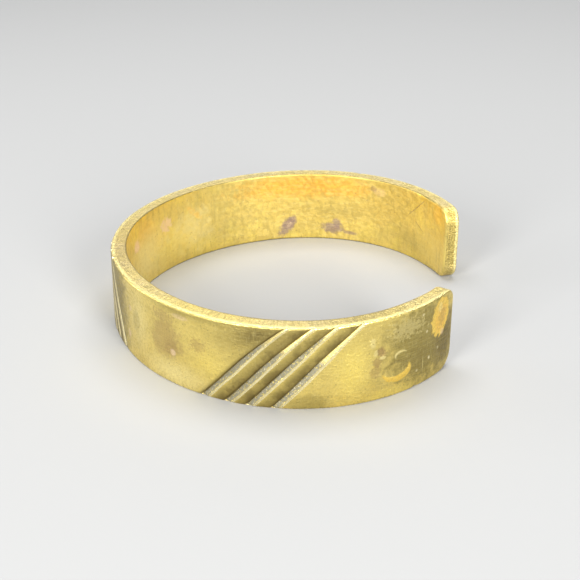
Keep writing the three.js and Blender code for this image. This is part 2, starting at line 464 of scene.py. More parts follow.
def buildStrip():
    rows = len(rowShares)
    gridColumn, gridRow = np.meshgrid(np.arange(columnCount), np.arange(rows), indexing="ij")
    share = rowShares[gridRow]
    thick = stripForm["thickness"]

    perimeter = [(i, rows - 1) for i in range(columnCount)]
    perimeter += [(columnCount - 1, j) for j in range(rows - 2, -1, -1)]
    perimeter += [(i, 0) for i in range(columnCount - 2, -1, -1)]
    perimeter += [(0, j) for j in range(1, rows - 1)]
    edgeColumn = np.array([p[0] for p in perimeter])
    edgeRow = np.array([p[1] for p in perimeter])
    edgeShare = rowShares[edgeRow]

    innerInset = innerRounding(gridColumn.ravel())
    layers = [(gridColumn.ravel(), share.ravel(), stripForm["outerArris"], 0.0)]
    for inset, through in sectionSteps(innerRounding(edgeColumn)):
        layers.append((edgeColumn, edgeShare, inset, through))
    layers.append((gridColumn.ravel(), share.ravel(), innerInset, thick))

    places, stripCoords, masks = [], [], []
    for column, rowShare, inset, through in layers:
        depth = np.broadcast_to(through, column.shape)
        along, up = stripPlace(column, rowShare, inset)
        inner = depth / thick
        cut, *grooveMasks = grooveRelief(columnMiddle(column), up)
        onFace = np.maximum(0.0, 1 - depth / stripForm["outerArris"])
        lowered = (cut + marksRelief(along, up)) * onFace**0.7   # the arris takes less of them
        outerWaves = faceWaves(along, up, seeds["outerFace"])
        lowered = lowered + (1 - inner) * (stripForm["faceSink"] - outerWaves)
        raised = inner * faceWaves(along, up, seeds["innerFace"])
        pull = nickPull(along, up, depth)
        depthNow = depth + lowered - raised + pull * (1 - 2 * inner) - flareAt(along, up)
        places.append(bent(along, up - pull * np.sign(up), depthNow))
        stripCoords.append(np.stack([along, up, depth], axis=-1))
        isOuter = depth < stripForm["outerArris"]
        masks.append(np.stack(grooveMasks, axis=-1) * isOuter[:, None])

    faces, slots = [], []
    outerId = np.arange(columnCount * rows).reshape(columnCount, rows)
    edgeCount = len(perimeter)
    edgeLayers = len(layers) - 2
    edgeStart = columnCount * rows
    innerId = outerId + edgeStart + edgeLayers * edgeCount
    outerQuads = gridQuads(outerId)
    innerQuads = gridQuads(innerId)[:, ::-1]
    faces += [outerQuads, innerQuads]
    slots += [np.zeros(len(outerQuads), int), np.full(len(innerQuads), 2)]
    rings = [outerId[edgeColumn, edgeRow]]
    for k in range(edgeLayers):
        rings.append(edgeStart + k * edgeCount + np.arange(edgeCount))
    rings.append(innerId[edgeColumn, edgeRow])
    for k in range(len(rings) - 1):
        near, far = rings[k], rings[k + 1]
        quads = np.stack([near, np.roll(near, -1), np.roll(far, -1), far], axis=-1)
        faces.append(quads)
        slots.append(np.full(len(quads), edgeSlot(k, len(rings) - 1)))
    return (
        np.concatenate(places),
        np.concatenate(faces),
        np.concatenate(slots),
        np.concatenate(stripCoords),
        np.concatenate(masks),
    )


# The outer face's finish runs onto its arris, the rim's takes the rest, then the inner
def edgeSlot(ring, ringCount):
    outerRings, innerRings = 3, 2
    if ring < outerRings:
        return 0
    return 2 if ring >= ringCount - innerRings else 1


def gridQuads(ids):
    return np.stack(
        [ids[:-1, :-1], ids[1:, :-1], ids[1:, 1:], ids[:-1, 1:]], axis=-1
    ).reshape(-1, 4)


def makeBand():
    places, faces, slots, stripCoords, masks = buildStrip()
    mesh = bpy.data.meshes.new("brass_band")
    mesh.from_pydata(places.tolist(), [], faces.tolist())
    mesh.polygons.foreach_set("material_index", slots.astype(np.int32))
    mesh.polygons.foreach_set("use_smooth", np.ones(len(faces), bool))
    place = mesh.attributes.new("stripPlace", "FLOAT_VECTOR", "POINT")
    place.data.foreach_set("vector", stripCoords.astype(np.float32).ravel())
    for i, name in enumerate(("grooveWallShade", "grooveFloor", "grooveLip", "grooveLand")):
        layer = mesh.attributes.new(name, "FLOAT", "POINT")
        layer.data.foreach_set("value", masks[:, i].astype(np.float32))
    mesh.validate()
    mesh.update()
    band = bpy.data.objects.new("brass_band", mesh)
    bpy.context.scene.collection.objects.link(band)
    print("cuff: band has", len(mesh.vertices), "points and", 2 * len(mesh.polygons), "triangles")
    return band


# Shader groups. Each takes the place on the flat strip in mm: along, up from mid-height, depth.
def startGroup(name, inputs, outputs):
    group = bpy.data.node_groups.new(name, "ShaderNodeTree")
    for label, kind, value in inputs:
        socket = group.interface.new_socket(label, in_out="INPUT", socket_type=kind)
        if value is not None:
            socket.default_value = value
    for label, kind in outputs:
        group.interface.new_socket(label, in_out="OUTPUT", socket_type=kind)
    entry = group.nodes.new("NodeGroupInput")
    result = group.nodes.new("NodeGroupOutput")
    return group, entry.outputs, result.inputs


def vectorMath(tree, operation, first, second):
    node = tree.nodes.new("ShaderNodeVectorMath")
    node.operation = operation
    connect(tree, first, node.inputs[0])
    connect(tree, second, node.inputs[1])
    return node.outputs["Value" if operation == "LENGTH" else "Vector"]


def math2(tree, operation, first, second, clamp=False):
    node = tree.nodes.new("ShaderNodeMath")
    node.operation = operation
    node.use_clamp = clamp
    connect(tree, first, node.inputs[0])
    connect(tree, second, node.inputs[1])
    return node.outputs["Value"]


# Links a socket, or sets the target's own value
def connect(tree, source, target):
    if isinstance(source, bpy.types.NodeSocket):
        tree.links.new(source, target)
    elif source is not None:
        target.default_value = source


def mapRange(tree, value, low, high, toLow=0.0, toHigh=1.0):
    node = tree.nodes.new("ShaderNodeMapRange")
    node.interpolation_type = "SMOOTHSTEP"
    connect(tree, value, node.inputs["Value"])
    connect(tree, low, node.inputs["From Min"])
    connect(tree, high, node.inputs["From Max"])
    connect(tree, toLow, node.inputs["To Min"])
    connect(tree, toHigh, node.inputs["To Max"])
    return node.outputs["Result"]


def noiseTexture(tree, vector, scale, roughness):
    node = tree.nodes.new("ShaderNodeTexNoise")
    connect(tree, vector, node.inputs["Vector"])
    connect(tree, scale, node.inputs["Scale"])
    node.inputs["Detail"].default_value = 4.0   # octaves
    node.inputs["Roughness"].default_value = roughness
    return node.outputs["Fac"]


# The place's three numbers: along, up and depth
def splitPlace(tree, place):
    split = tree.nodes.new("ShaderNodeSeparateXYZ")
    tree.links.new(place, split.inputs["Vector"])
    return split.outputs


# Fine lines left by a file or an abrasive. Grain is lines per mm each way.
def makeStreakGroup():
    group, given, made = startGroup(
        "Abrasive streaks",
        [("Place", "NodeSocketVector", None), ("Grain", "NodeSocketVector", (0.2, 6.0, 1.0))],
        [("Streaks", "NodeSocketFloat")],
    )
    stretched = vectorMath(group, "MULTIPLY", given["Place"], given["Grain"])
    texture = noiseTexture(group, stretched, 1.0, roughness=0.6)
    group.links.new(texture, made["Streaks"])
    return group


# Soft uneven patches, such as rubbed and dulled places
def makeCloudGroup():
    group, given, made = startGroup(
        "Rubbed patches",
        [
            ("Place", "NodeSocketVector", None),
            ("Size", "NodeSocketFloat", 5.0),
            ("Low", "NodeSocketFloat", 0.4),
            ("High", "NodeSocketFloat", 0.6),
        ],
        [("Mask", "NodeSocketFloat")],
    )
    frequency = math2(group, "DIVIDE", 1.0, given["Size"])
    texture = noiseTexture(group, given["Place"], frequency, roughness=0.58)
    mask = mapRange(group, texture, given["Low"], given["High"])
    group.links.new(mask, made["Mask"])
    return group


# One oval spot with a ragged edge, which tints tarnish and also painted light and shade
def makeTintSpotGroup():
    group, given, made = startGroup(
        "Tinted spot",
        [
            ("Place", "NodeSocketVector", None),
            ("Centre", "NodeSocketVector", (0, 0, 0)),
            ("Reach", "NodeSocketVector", (1, 1, 1)),
            ("Turn", "NodeSocketFloat", 0.0),
            ("Ragged", "NodeSocketFloat", 0.5),
            ("Grain", "NodeSocketFloat", 1.0),
            ("Inner", "NodeSocketFloat", 0.55),
        ],
        [("Mask", "NodeSocketFloat")],
    )
    offset = vectorMath(group, "SUBTRACT", given["Place"], given["Centre"])
    flat = vectorMath(group, "MULTIPLY", offset, (1, 1, 0))
    rotate = group.nodes.new("ShaderNodeVectorRotate")
    rotate.rotation_type = "Z_AXIS"
    group.links.new(flat, rotate.inputs["Vector"])
    group.links.new(given["Turn"], rotate.inputs["Angle"])
    scaled = vectorMath(group, "DIVIDE", rotate.outputs["Vector"], given["Reach"])
    distance = vectorMath(group, "LENGTH", scaled, None)
    texture = noiseTexture(group, given["Place"], given["Grain"], roughness=0.6)
    uneven = math2(group, "SUBTRACT", texture, 0.5)
    uneven = math2(group, "MULTIPLY", uneven, given["Ragged"])
    warped = math2(group, "ADD", distance, uneven)
    mask = mapRange(group, warped, 1.0, given["Inner"])
    group.links.new(mask, made["Mask"])
    return group


# Scattered pits. Amount is the share of cells that hold one.
def makeSpeckGroup():
    group, given, made = startGroup(
        "Pits and specks",
        [
            ("Place", "NodeSocketVector", None),
            ("Size", "NodeSocketFloat", 0.5),
            ("Amount", "NodeSocketFloat", 0.3),
        ],
        [("Mask", "NodeSocketFloat")],
    )
    cells = group.nodes.new("ShaderNodeTexVoronoi")
    group.links.new(given["Place"], cells.inputs["Vector"])
    frequency = math2(group, "DIVIDE", 1.0, given["Size"])
    group.links.new(frequency, cells.inputs["Scale"])
    rim, core = 0.34, 0.12   # of a pit, from its cell's middle
    pit = mapRange(group, cells.outputs["Distance"], rim, core)
    split = group.nodes.new("ShaderNodeSeparateColor")
    group.links.new(cells.outputs["Color"], split.inputs["Color"])
    chosen = math2(group, "LESS_THAN", split.outputs["Red"], given["Amount"])
    mask = math2(group, "MULTIPLY", pit, chosen)
    group.links.new(mask, made["Mask"])
    return group


effects = {
    "streaks": makeStreakGroup(),
    "patches": makeCloudGroup(),
    "tintSpot": makeTintSpotGroup(),
    "specks": makeSpeckGroup(),
}

tones = {
    "brass": (0.88, 0.69, 0.205, 1),
    "paleBrass": (0.96, 0.82, 0.36, 1),
    "brightBrass": (1.0, 0.80, 0.20, 1),
    # Olive tone for tarnish film and oxide, also used for painted shade on the outer face
    "oliveFilmAndShade": (0.36, 0.285, 0.085, 1),
    "darkOlive": (0.20, 0.150, 0.050, 1),
    "brownTarnish": (0.38, 0.245, 0.105, 1),
    "pinkBloom": (0.96, 0.72, 0.48, 1),
    "orangeFlash": (1.0, 0.64, 0.12, 1),
    "copperMark": (1.0, 0.70, 0.13, 1),
    "warmBrass": (0.64, 0.475, 0.125, 1),
    "amberBloom": (0.82, 0.45, 0.07, 1),
    "purpleOxide": (0.34, 0.24, 0.20, 1),
    "grooveOxide": (0.15, 0.145, 0.11, 1),
    "paleOxide": (0.66, 0.58, 0.38, 1),
    # A dark tone for dirt, and for painted shade in the cuts and under the raised crescent
    "darkDirtAndShade": (0.13, 0.09, 0.03, 1),
    # Cream tone, also used for the painted highlight on the cuts' lips
    "creamLip": (1.0, 0.90, 0.55, 1),
    "filedBrass": (0.84, 0.69, 0.33, 1),
}


def readAttribute(tree, name, output="Fac"):
    node = tree.nodes.new("ShaderNodeAttribute")
    node.attribute_name = name
    return node.outputs[output]


def useEffect(tree, effect, **values):
    node = tree.nodes.new("ShaderNodeGroup")
    node.node_tree = effects[effect]
    for label, value in values.items():
        connect(tree, value, node.inputs[label])
    return node.outputs[0]


# A value plus a share of another
def addShare(tree, value, other, share, clamp=False):
    return math2(tree, "ADD", value, math2(tree, "MULTIPLY", other, share), clamp)


# Lays a tone over the base colour where the mask says
def tint(tree, base, tone, mask, strength):
    node = tree.nodes.new("ShaderNodeMix")
    node.data_type = "RGBA"
    amount = math2(tree, "MULTIPLY", mask, strength, clamp=True)
    tree.links.new(amount, node.inputs["Factor"])
    connect(tree, base, node.inputs["A"])
    node.inputs["B"].default_value = tones[tone]
    return node.outputs["Result"]


def startMetal(name):
    material = bpy.data.materials.new(name)
    material.use_nodes = True
    tree = material.node_tree
    shader = tree.nodes["Principled BSDF"]
    shader.inputs["Metallic"].default_value = 1.0
    place = readAttribute(tree, "stripPlace", "Vector")
    return material, tree, shader, place


# depth is how deep, in mm, a height of 1 is
def addBump(tree, shader, height, depth):
    bump = tree.nodes.new("ShaderNodeBump")
    bump.inputs["Strength"].default_value = 1.0
    bump.inputs["Distance"].default_value = depth * mm
    tree.links.new(height, bump.inputs["Height"])
    tree.links.new(bump.outputs["Normal"], shader.inputs["Normal"])


# Tints every spot in the list, stains and painted light and shade alike, and returns the colour and how
# much is covered
def layTintSpots(tree, base, place, tintSpots):
    spotCover = None
    for tintSpot in tintSpots:
        mask = tintSpotMask(tree, place, tintSpot, (0, 0))
        if "bite" in tintSpot:
            clear = tintSpotMask(tree, place, tintSpot, tintSpot["bite"])
            mask = math2(tree, "MULTIPLY", mask, math2(tree, "SUBTRACT", 1.0, clear))
        strength = tintSpot.get("strength", 0.6)
        base = tint(tree, base, tintSpot["tone"], mask, strength)
        amount = math2(tree, "MULTIPLY", mask, strength)
        spotCover = amount if spotCover is None else math2(tree, "MAXIMUM", spotCover, amount)
    return base, spotCover


def tintSpotMask(tree, place, tintSpot, shift):
    return useEffect(
        tree, "tintSpot", Place=place,
        Centre=(tintSpot["along"] + shift[0], tintSpot["up"] + shift[1], 0),
        Reach=(tintSpot["long"], tintSpot["high"], 1),
        Turn=-math.radians(tintSpot.get("turn", 0)), Ragged=tintSpot.get("ragged", 0.6),
        Grain=tintSpot.get("grain", 0.9), Inner=tintSpot.get("inner", 0.5),
    )


# A spot in a tone, for a stain and also for painted light and shade, its middle at along and up and
# its reach long and high, each way. More can be given: strength, inner (the share of its reach where
# it starts to fade), turn (degrees), bite (a crescent: a second oval, moved by bite, stays clear),
# ragged and grain (of its edge).
def spot(tone, along, up, long, high, **more):
    return {"tone": tone, "along": along, "up": up, "long": long, "high": high, **more}


# The outer face: satin, brushed along the strip, with old tarnish and oxide in the grooves, and
# painted light and shade: shade in and between the cuts, highlights on the lips and arris, and
# painted reflections in some spots
outerFinish = {
    "roughness": (0.28, 0.43),      # where it is smoothest and roughest
    "spotRoughness": 0.10,         # added by the tinted spots
    "oxideRoughness": 0.3,
    "lipSmoothness": 0.10,
    "oxideCover": 0.45,             # how far the oxide hides the metal
    "brushing": 0.45,               # how far the sheen spreads across the brushing
    "streakGrain": (0.30, 6.0, 1.0),
    "crossGrain": (5.0, 0.7, 1.0),
    "streakLines": (0.42, 0.66),    # parts of the streaks and of the cross grain that show pale
    "crossLines": (0.50, 0.70),
    # Size in mm, and the noise at which a patch starts and is whole
    "patches": {
        "fine": {"Size": 0.42, "Low": 0.42, "High": 0.60},
        "medium": {"Size": 2.2, "Low": 0.42, "High": 0.62},
        "broad": {"Size": 11.0, "Low": 0.40, "High": 0.62},
        "crust": {"Size": 0.32, "Low": 0.32, "High": 0.50},
        "rubbed": {"Size": 1.3, "Low": 0.26, "High": 0.46},
    },
    "specks": {"Size": 0.50, "Amount": 0.20},
    "flecks": {"Size": 0.26, "Amount": 0.6},
    "landPatches": (0.72, 1.0),     # least and most of the land's painted shade
    "lipPatches": (0.75, 1.0),      # and of the lips' brightness
    # how strongly each tint is laid
    "strength": {
        "broad": 0.16, "medium": 0.16, "fine": 0.26, "streaks": 0.12, "cross": 0.16,
        "specks": 0.30, "land": 0.88, "wide": 0.75, "wall": 0.72, "oxide": 0.9, "flecks": 0.6,
        "lip": 0.85, "arris": 0.35,
    },
    # how high each stands in the bump, and the share of it that the lips keep
    "heights": {"streaks": 0.8, "cross": 0.5, "fine": 0.7, "specks": -0.6, "oxide": 2.0},
    "heightOnLips": 0.15,
    "bumpDepth": 0.018,
    "tintSpots": [
        # the plain stretch behind the front grooves
        # Painted highlight: a bright patch of reflected light
        spot("paleBrass", 23.5, 1.0, 3.2, 6.5, strength=0.55, inner=0.0),
        spot("brownTarnish", 29.6, 0.6, 3.7, 3.8, strength=0.55, ragged=1.3),
        spot("brownTarnish", 30.6, -0.4, 1.7, 1.8, strength=0.35, ragged=1.0),
        spot("pinkBloom", 31.0, -1.0, 0.65, 0.6, strength=0.75),
        spot("pinkBloom", 20.7, 1.7, 0.55, 0.55, strength=0.6),
        spot("pinkBloom", 19.8, -2.6, 0.6, 0.85, strength=0.75),
        spot("pinkBloom", 32.6, 4.8, 1.8, 0.5, strength=0.45),
        spot("oliveFilmAndShade", 22.6, 0.5, 1.4, 2.2, strength=0.4),
        spot("brownTarnish", 35.4, 1.3, 1.5, 1.2, strength=0.5, ragged=3.5, grain=2.6),
        spot("brownTarnish", 29.4, 4.1, 2.4, 0.9, strength=0.45, ragged=3.0, grain=2.2),
        # The next three are painted shade: a dark band under the upper arris and a dark zone beside the
        # first front cut
        spot("oliveFilmAndShade", 34.0, 5.8, 12.0, 1.3, strength=0.75, inner=0.2),
        spot("darkOlive", 44.0, 4.6, 8.5, 3.8, strength=1.0, inner=-0.1, turn=14, ragged=0.25),
        spot("oliveFilmAndShade", 42.0, 0.6, 2.0, 6.5, strength=0.5, inner=-0.2, turn=-42, ragged=0.25),
        # The next two are painted highlights: reflected light low on this stretch
        spot("paleBrass", 31.0, -4.4, 9.0, 3.4, strength=1.0, inner=0.0),
        spot("brightBrass", 37.0, -1.0, 4.5, 3.6, strength=0.5, inner=0.0),
        # between the front grooves and the tip
        spot("brightBrass", 50.5, 2.2, 2.4, 4.2, strength=0.35, inner=0.1, turn=-42),
        # Painted highlight: bright reflected light past the last front cut
        spot("brightBrass", 56.4, -0.8, 3.9, 6.6, strength=0.75, inner=0.0),
        spot("oliveFilmAndShade", 50.8, -5.2, 3.4, 1.8, strength=0.6),
        spot("oliveFilmAndShade", 67.8, 0.8, 8.6, 8.0, strength=1.0, inner=0.45, ragged=1.1),
        # Olive tarnish, made darker with painted shade on the tip's far side
        spot("darkOlive", 72.4, -1.0, 3.8, 6.5, strength=1.0, inner=0.2),
        spot("darkOlive", 63.8, 3.6, 4.5, 2.4, strength=0.35, inner=0.0),
        spot("brightBrass", 62.0, -5.4, 5.0, 1.3, strength=0.5),
        spot("paleBrass", 64.5, 3.6, 3.4, 1.7, strength=0.4, ragged=4.0, grain=2.0),
        spot("darkOlive", 67.0, -2.0, 3.6, 3.0, strength=0.35, ragged=4.5, grain=2.8),
        spot("brownTarnish", 60.2, 1.3, 0.8, 1.1, strength=0.85, turn=70, ragged=1.4),
        spot("brownTarnish", 59.8, -0.2, 0.9, 0.9, strength=0.6, ragged=2.0, grain=1.6),
        spot("brownTarnish", 59.5, -1.6, 1.1, 1.2, strength=0.45, ragged=2.0, grain=1.6),
        spot("paleBrass", 59.0, 2.7, 0.55, 0.9, strength=0.6, ragged=1.6, grain=2.0),
        spot("paleBrass", 59.5, 1.2, 0.4, 0.6, strength=0.6, ragged=1.4, grain=2.0),
        spot("paleBrass", 60.5, 0.3, 0.6, 0.3, strength=0.75),
        # Painted shadow under the raised crescent
        spot("darkDirtAndShade", 62.75, -2.15, 2.45, 1.55, strength=0.4, inner=0.8, bite=(0.15, -0.25), ragged=0.1),
        spot("copperMark", 62.9, -2.4, 2.5, 1.6, strength=1.0, inner=0.86, bite=(-0.4, 0.9), ragged=0.15),
        spot("paleBrass", 63.4, 0.0, 1.15, 0.75, strength=0.85, inner=0.75, bite=(0.25, -0.3), ragged=0.3),
        spot("darkDirtAndShade", 71.05, 2.8, 2.4, 3.4, strength=0.5, inner=0.75, turn=-12, ragged=0.7, grain=1.4),
        spot("copperMark", 71.1, 2.9, 2.2, 3.1, strength=1.0, inner=0.82, turn=-12, ragged=0.8, grain=1.4),
        spot("orangeFlash", 71.3, 2.6, 1.7, 2.6, strength=0.9, inner=0.6, turn=-12, ragged=1.4, grain=1.6),
        spot("brownTarnish", 71.5, 2.9, 0.9, 2.0, strength=0.4, turn=-12, ragged=3.2, grain=1.3),
        spot("paleBrass", 71.0, 4.3, 0.7, 0.9, strength=0.5, ragged=1.6, grain=1.8),
        spot("pinkBloom", 71.6, 0.4, 0.6, 0.6, strength=0.45),
        spot("creamLip", 68.1, 1.8, 0.26, 0.3, strength=0.6),
        spot("creamLip", 68.8, -2.4, 0.26, 0.3, strength=0.7),
        spot("creamLip", 70.8, -1.7, 0.25, 0.3, strength=0.4),
        spot("creamLip", 67.2, 4.6, 0.3, 0.25, strength=0.55),
        spot("creamLip", 66.4, -3.5, 0.28, 0.25, strength=0.5),
        spot("paleBrass", 67.5, -2.9, 0.08, 1.7, strength=0.6, ragged=0.2),
        # the back and the rear
        # The next two are painted shade: the back, where the face turns away from the light
        spot("oliveFilmAndShade", 13.5, 0.5, 8.0, 14.0, strength=0.9, inner=0.4),
        spot("darkOlive", 12.5, 1.5, 8.5, 15.0, strength=0.8, inner=0.4, ragged=1.0),
        spot("oliveFilmAndShade", -12.0, 2.0, 9.0, 4.5, strength=0.5, inner=0.0),
        spot("brownTarnish", -19.5, -1.0, 2.6, 3.2, strength=0.45, ragged=1.0),
        spot("brightBrass", -45.0, -1.5, 6.5, 4.5, strength=0.5, inner=0.0),
        spot("darkOlive", -57.0, 2.5, 6.5, 4.0, strength=0.45, inner=0.0),
        spot("orangeFlash", -68.5, -2.0, 2.2, 1.6, strength=0.5),
    ],
}


def makeOuterFinish():
    material, tree, shader, place = startMetal("Satin outer face")
    finish = outerFinish
    strength, heights = finish["strength"], finish["heights"]
    streaks = useEffect(tree, "streaks", Place=place, Grain=finish["streakGrain"])
    across = useEffect(tree, "streaks", Place=place, Grain=finish["crossGrain"])
    patches = {
        name: useEffect(tree, "patches", Place=place, **values)
        for name, values in finish["patches"].items()
    }
    fine, medium = patches["fine"], patches["medium"]
    specks = useEffect(tree, "specks", Place=place, **finish["specks"])
    flecks = useEffect(tree, "specks", Place=place, **finish["flecks"])
    base = tint(tree, tones["brass"], "oliveFilmAndShade", patches["broad"], strength["broad"])
    base = tint(tree, base, "oliveFilmAndShade", medium, strength["medium"])
    base, spotCover = layTintSpots(tree, base, place, finish["tintSpots"])
    base = tint(tree, base, "oliveFilmAndShade", fine, strength["fine"])
    worn = mapRange(tree, streaks, *finish["streakLines"])
    scored = mapRange(tree, across, *finish["crossLines"])
    base = tint(tree, base, "paleBrass", worn, strength["streaks"])
    base = tint(tree, base, "paleBrass", scored, strength["cross"])
    base = tint(tree, base, "darkDirtAndShade", specks, strength["specks"])

    # the cuts
    wall = readAttribute(tree, "grooveWallShade")
    floor = readAttribute(tree, "grooveFloor")
    lip = readAttribute(tree, "grooveLip")
    land = readAttribute(tree, "grooveLand")
    uneven = mapRange(tree, medium, 0, 1, *finish["landPatches"])
    landShade = math2(tree, "MULTIPLY", land, uneven)
    oxide = math2(tree, "MULTIPLY", floor, patches["crust"])
    rubbed = mapRange(tree, patches["rubbed"], 0, 1, *finish["lipPatches"])
    bright = math2(tree, "MULTIPLY", lip, rubbed)
    # Painted shade on the land between cuts
    base = tint(tree, base, "darkOlive", landShade, strength["land"])
    base = tint(tree, base, "oliveFilmAndShade", floor, strength["wide"])
    # Painted shade on the cuts' steep walls
    base = tint(tree, base, "darkDirtAndShade", wall, strength["wall"])
    base = tint(tree, base, "grooveOxide", oxide, strength["oxide"])
    pale = math2(tree, "MULTIPLY", floor, flecks)
    base = tint(tree, base, "paleOxide", pale, strength["flecks"])
    # The lips: worn bright metal with a painted highlight
    base = tint(tree, base, "creamLip", bright, strength["lip"])
    # Pale tint on the outer arris: wear with a painted highlight
    base = tint(tree, base, "paleBrass", arrisWearAndHighlight(tree, place), strength["arris"])
    tree.links.new(base, shader.inputs["Base Color"])

    cover = math2(tree, "MULTIPLY", oxide, finish["oxideCover"])
    tree.links.new(math2(tree, "SUBTRACT", 1.0, cover), shader.inputs["Metallic"])
    rough = mapRange(tree, fine, 0, 1, *finish["roughness"])
    rough = addShare(tree, rough, spotCover, finish["spotRoughness"])
    rough = addShare(tree, rough, oxide, finish["oxideRoughness"])
    rough = addShare(tree, rough, bright, -finish["lipSmoothness"], clamp=True)
    tree.links.new(rough, shader.inputs["Roughness"])
    shader.inputs["Anisotropic"].default_value = finish["brushing"]
    height = math2(tree, "MULTIPLY", streaks, heights["streaks"])
    for name, value in (("cross", across), ("fine", fine), ("specks", specks), ("oxide", oxide)):
        height = addShare(tree, height, value, heights[name])
    kept = mapRange(tree, lip, 0, 1, 1.0, finish["heightOnLips"])
    addBump(tree, shader, math2(tree, "MULTIPLY", height, kept), finish["bumpDepth"])
    return material


# How wear with a painted highlight, and a painted shade line, run along the strip's edges, in mm.
# Of each pair of values, the first is where there is none and the second where it is whole.
edgeFinish = {
    "wearFrom": (0.03, 0.14),       # depths through the strip
    "wearTo": (0.75, 0.42),
    "shadeLineFrom": -0.10,              # from where the inner arris starts
    "shadeLineTo": (0.17, 0.12),
    "shadeLineEnds": (4, 8),             # from the strip's end
}


# Where handling keeps the outer arris bright, with a painted highlight along it
def arrisWearAndHighlight(tree, place):
    depth = splitPlace(tree, place)["Z"]
    start = mapRange(tree, depth, *edgeFinish["wearFrom"])
    return math2(tree, "MULTIPLY", start, mapRange(tree, depth, *edgeFinish["wearTo"]))


# A thin line of painted shade where the rim meets the inner face, kept off the ends
def innerEdgeShade(tree, place):
    along, _, depth = splitPlace(tree, place)
    edge = stripForm["thickness"] - stripForm["innerArris"]
    outermost, full = edgeFinish["shadeLineTo"]
    lineStops, lineWhole = edgeFinish["shadeLineEnds"]
    start = mapRange(tree, depth, edge + edgeFinish["shadeLineFrom"], edge)
    end = mapRange(tree, depth, edge + outermost, edge + full)
    line = math2(tree, "MULTIPLY", start, end)
    fromBack = math2(tree, "ABSOLUTE", along, None)
    offEnds = mapRange(tree, fromBack, halfLength - lineStops, halfLength - lineWhole)
    return math2(tree, "MULTIPLY", line, offEnds)


# The rim: filed flat across its width
rimFinish = {
    "roughness": (0.31, 0.48),
    "spotRoughness": 0.1,
    "fileGrain": (4.2, 0.5, 0.45),
    "endGrain": (0.5, 3.6, 0.5),
    "fileLines": (0.44, 0.60),      # parts of the file's grain that show dull
    "grit": {"Size": 0.34, "Low": 0.40, "High": 0.58},
    "broad": {"Size": 6.0, "Low": 0.38, "High": 0.62},
    "strength": {
        "broad": 0.5, "lines": 0.42, "grit": 0.30, "beads": 0.75, "arris": 0.7, "shadeLine": 0.6,
    },
    "heights": {"grit": 0.8, "end": 0.6},
    "bumpDepth": 0.06,
    "tintSpots": [
        spot("brownTarnish", 8.0, 6.0, 13.0, 9.0, strength=0.35, inner=0.2, ragged=1.0),
        spot("oliveFilmAndShade", 58.0, 6.0, 9.0, 9.0, strength=0.45, inner=0.0),
        spot("brightBrass", 36.0, 6.0, 16.0, 9.0, strength=0.4, inner=0.0),
        spot("warmBrass", -74.0, 1.5, 2.5, 9.0, strength=0.9, inner=0.4),
        spot("oliveFilmAndShade", -74.5, -0.5, 1.5, 6.0, strength=0.5, inner=0.2, ragged=1.2),
    ],
}


# A row of nicks that a knurled jaw left down the rear end's face, in mm, with pairs as above
endBeads = {
    "pitch": 0.36,
    "gaps": (-0.1, 0.5),    # of the wave that spaces them, from -1 to 1
    "depth": 1.55,          # through the strip from its outer face
    "width": (0.18, 0.08),
    "up": 0.4,              # from mid-height
    "length": (3.2, 2.4),
    "fromEnd": (0.8, 0.3),
}


def filedBeads(tree, place):
    along, up, depth = splitPlace(tree, place)
    phase = math2(tree, "MULTIPLY", up, 2 * math.pi / endBeads["pitch"])
    beads = mapRange(tree, math2(tree, "SINE", phase, None), *endBeads["gaps"])
    start, whole = endBeads["fromEnd"]
    onEnd = mapRange(tree, along, start - halfLength, whole - halfLength)
    aside = math2(tree, "ABSOLUTE", math2(tree, "SUBTRACT", depth, endBeads["depth"]), None)
    row = mapRange(tree, aside, *endBeads["width"])
    above = math2(tree, "ABSOLUTE", math2(tree, "SUBTRACT", up, endBeads["up"]), None)
    length = mapRange(tree, above, *endBeads["length"])
    inRow = math2(tree, "MULTIPLY", beads, row)
    return math2(tree, "MULTIPLY", math2(tree, "MULTIPLY", inRow, onEnd), length)


def makeRimFinish():
    material, tree, shader, place = startMetal("Filed rim")
    finish = rimFinish
    strength, heights = finish["strength"], finish["heights"]
    marks = useEffect(tree, "streaks", Place=place, Grain=finish["fileGrain"])
    endMarks = useEffect(tree, "streaks", Place=place, Grain=finish["endGrain"])
    grit = useEffect(tree, "patches", Place=place, **finish["grit"])
    broad = useEffect(tree, "patches", Place=place, **finish["broad"])
    lines = mapRange(tree, marks, *finish["fileLines"])
    base = tint(tree, tones["filedBrass"], "brass", broad, strength["broad"])
    base, spotCover = layTintSpots(tree, base, place, finish["tintSpots"])
    base = tint(tree, base, "oliveFilmAndShade", lines, strength["lines"])
    base = tint(tree, base, "oliveFilmAndShade", grit, strength["grit"])
    base = tint(tree, base, "darkOlive", filedBeads(tree, place), strength["beads"])
    # Pale tint on the outer arris: wear with a painted highlight
    base = tint(tree, base, "paleBrass", arrisWearAndHighlight(tree, place), strength["arris"])
    # Painted shade line along the inner arris
    base = tint(tree, base, "darkOlive", innerEdgeShade(tree, place), strength["shadeLine"])
    tree.links.new(base, shader.inputs["Base Color"])
    rough = mapRange(tree, grit, 0, 1, *finish["roughness"])
    rough = addShare(tree, rough, spotCover, finish["spotRoughness"], clamp=True)
    tree.links.new(rough, shader.inputs["Roughness"])
    height = addShare(tree, marks, grit, heights["grit"])
    height = addShare(tree, height, endMarks, heights["end"])
    addBump(tree, shader, height, finish["bumpDepth"])
    return material
